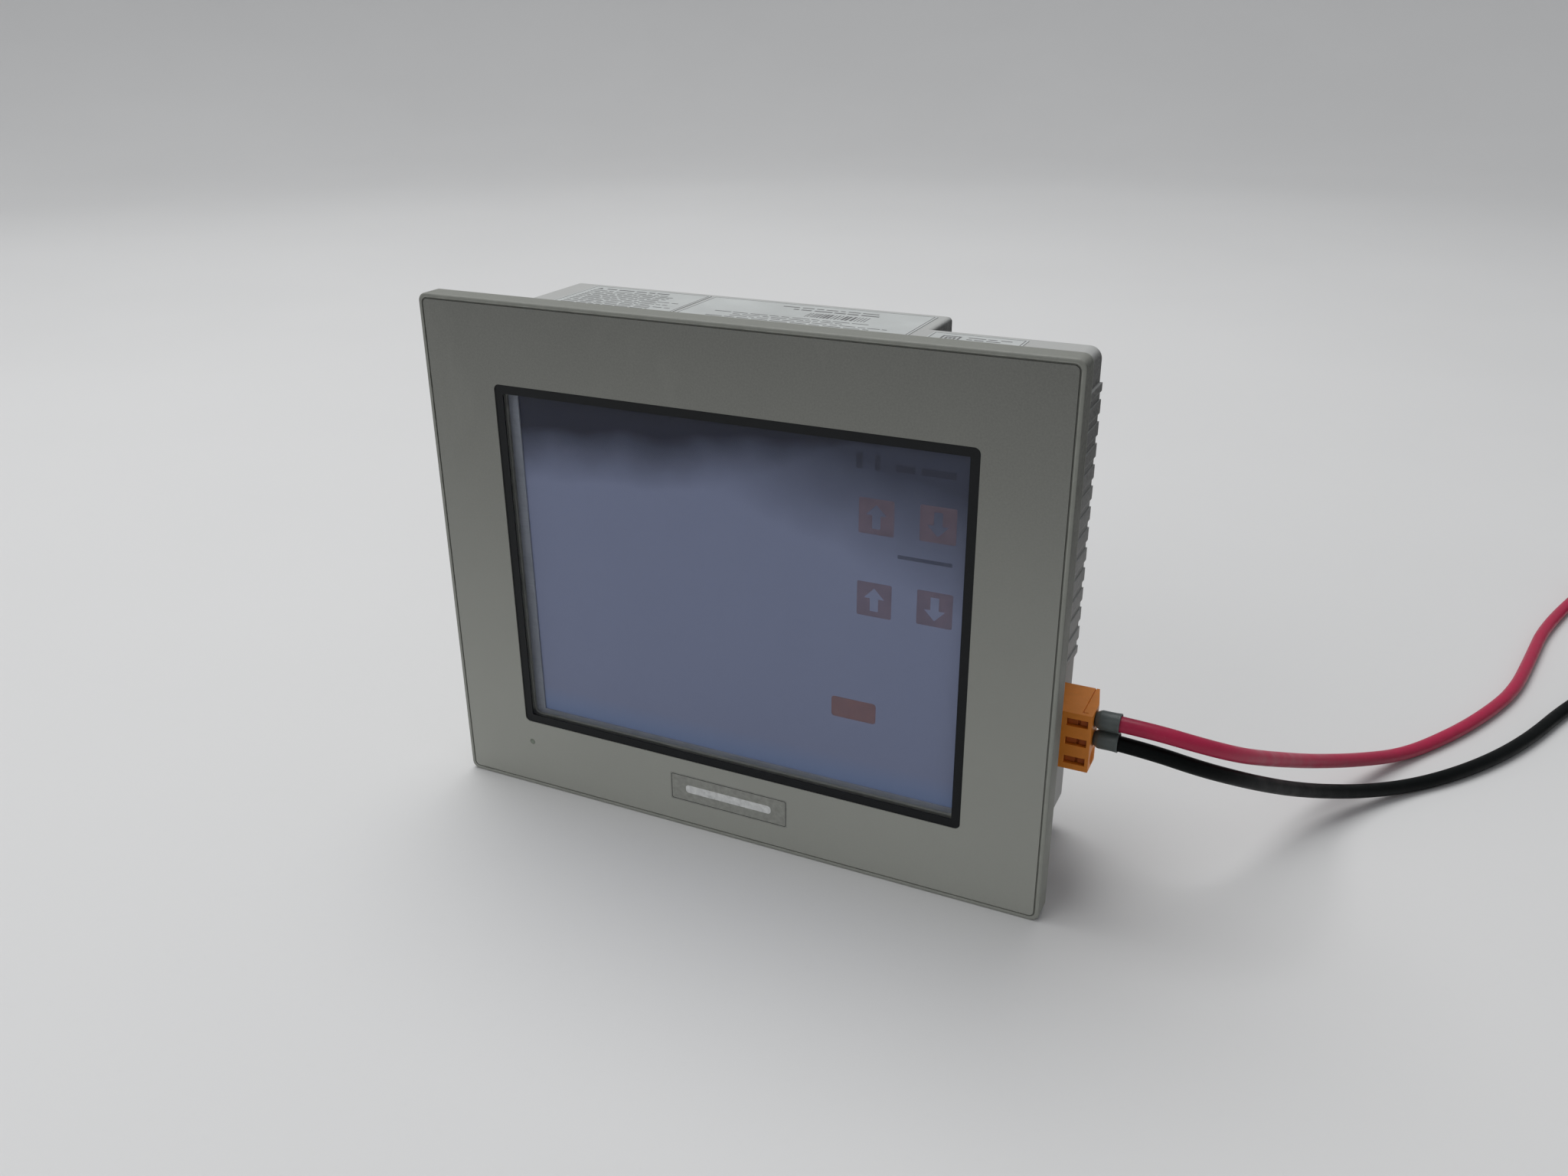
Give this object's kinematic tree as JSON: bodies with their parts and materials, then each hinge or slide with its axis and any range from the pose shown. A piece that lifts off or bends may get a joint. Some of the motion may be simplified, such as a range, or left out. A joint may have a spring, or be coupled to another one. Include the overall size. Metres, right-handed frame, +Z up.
{
  "type": "panel-mounted touch screen terminal",
  "caption": "Panel-mount touch screen operator terminal with a stepped rear case, side ports, a hinged card cover and a pull-off power plug with loose wires.",
  "frame": {"origin": "centre of the panel cut-out, in the plane of the bezel's rear face", "axes": "+X right seen from the front, +Y from the front into the cabinet, +Z up"},
  "size_m": [0.3527, 0.2956, 0.137],
  "materials": {
    "bezel_plastic": "fine spark texture",
    "overlay_film": "satin",
    "black_print": "satin print",
    "touch_glass": "hard coated",
    "plate_print": "printed",
    "led_lens": "frosted",
    "seal_rubber": "matte",
    "display_metal": "satin",
    "display_cell": "unlit display",
    "diffuser": "diffuse",
    "case_plastic": "fine texture",
    "steel": "zinc plated",
    "black_plastic": "moulded",
    "white_plastic": "moulded",
    "brass_nickel": "plated",
    "tinned_copper": "tinned",
    "orange_plastic": "moulded",
    "grey_sleeve": "soft nylon",
    "red_insulation": "smooth vinyl",
    "black_insulation": "smooth vinyl",
    "circuit_board": "solder mask",
    "aluminium": "anodised",
    "ferrite": "sintered",
    "ribbon_film": "polyimide",
    "label_film": "printed film"
  },
  "bodies": {
    "panel": {"front_bezel": "bezel_plastic", "front_sheet": "overlay_film", "window_border": "black_print", "touch_panel": "touch_glass", "name_plate": "plate_print", "power_led": "led_lens", "panel_gasket": "seal_rubber", "lcd_frame": "display_metal", "lcd_screen": "display_cell", "backlight_unit": "diffuser", "cover_hinge_pin": "steel", "card_slot": "black_plastic", "dip_switch": "black_plastic", "ethernet_jack": "black_plastic", "usb_host_port": "steel", "usb_device_port": "steel", "serial_port_shell": "steel", "serial_port_core": "black_plastic", "serial_port_pins": "brass_nickel", "serial_screwlocks": "steel", "power_header": "black_plastic", "header_pins": "tinned_copper", "rear_case": "case_plastic", "chassis_plate": "steel", "case_screws": "steel", "case_spacers": "steel", "main_board": "circuit_board", "power_board": "circuit_board", "board_standoffs": "brass_nickel", "heat_spreader": "aluminium", "filter_capacitors": "black_plastic", "power_inductor": "ferrite", "display_ribbon": "ribbon_film", "clock_battery": "steel", "caution_label": "label_film", "rating_label": "label_film", "serial_label": "label_film"},
    "card_cover": {"card_cover": "case_plastic"},
    "card_eject_button": {"card_eject_button": "black_plastic"},
    "dip_slider_1": {"dip_slider_1": "white_plastic"},
    "dip_slider_2": {"dip_slider_2": "white_plastic"},
    "dip_slider_3": {"dip_slider_3": "white_plastic"},
    "dip_slider_4": {"dip_slider_4": "white_plastic"},
    "power_plug": {"plug_housing": "orange_plastic", "plug_contacts": "tinned_copper", "red_wire": "red_insulation", "black_wire": "black_insulation", "red_coil": "red_insulation", "black_coil": "black_insulation", "red_end_ferrule": "grey_sleeve", "black_end_ferrule": "grey_sleeve", "red_ferrule": "grey_sleeve", "black_ferrule": "grey_sleeve"},
    "release_button_1": {"release_button_1": "orange_plastic"},
    "release_button_2": {"release_button_2": "orange_plastic"},
    "release_button_3": {"release_button_3": "orange_plastic"}
  },
  "joints": [
    {"name": "card_cover_hinge", "type": "hinge", "parent": "panel", "child": "card_cover", "pos_m": [-0.0652, 0.0528, 0.008], "axis": [0, 0, 1], "range_deg": [0, 100]},
    {"name": "card_eject_press", "type": "slide", "parent": "panel", "child": "card_eject_button", "axis": [0, -1, 0], "range_m": [0, 0.0025], "stiffness_N_per_m": 300},
    {"name": "dip_slide_1", "type": "slide", "parent": "panel", "child": "dip_slider_1", "axis": [0, 0, 1], "range_m": [0, 0.0018]},
    {"name": "dip_slide_2", "type": "slide", "parent": "panel", "child": "dip_slider_2", "axis": [0, 0, 1], "range_m": [0, 0.0018]},
    {"name": "dip_slide_3", "type": "slide", "parent": "panel", "child": "dip_slider_3", "axis": [0, 0, 1], "range_m": [0, 0.0018]},
    {"name": "dip_slide_4", "type": "slide", "parent": "panel", "child": "dip_slider_4", "axis": [0, 0, 1], "range_m": [0, 0.0018]},
    {"name": "power_plug_pull", "type": "slide", "parent": "panel", "child": "power_plug", "axis": [1, 0, 0], "range_m": [0, 0.012]},
    {"name": "release_press_1", "type": "slide", "parent": "power_plug", "child": "release_button_1", "axis": [0, 1, 0], "range_m": [0, 0.0006], "stiffness_N_per_m": 300},
    {"name": "release_press_2", "type": "slide", "parent": "power_plug", "child": "release_button_2", "axis": [0, 1, 0], "range_m": [0, 0.0006], "stiffness_N_per_m": 300},
    {"name": "release_press_3", "type": "slide", "parent": "power_plug", "child": "release_button_3", "axis": [0, 1, 0], "range_m": [0, 0.0006], "stiffness_N_per_m": 300}
  ]
}
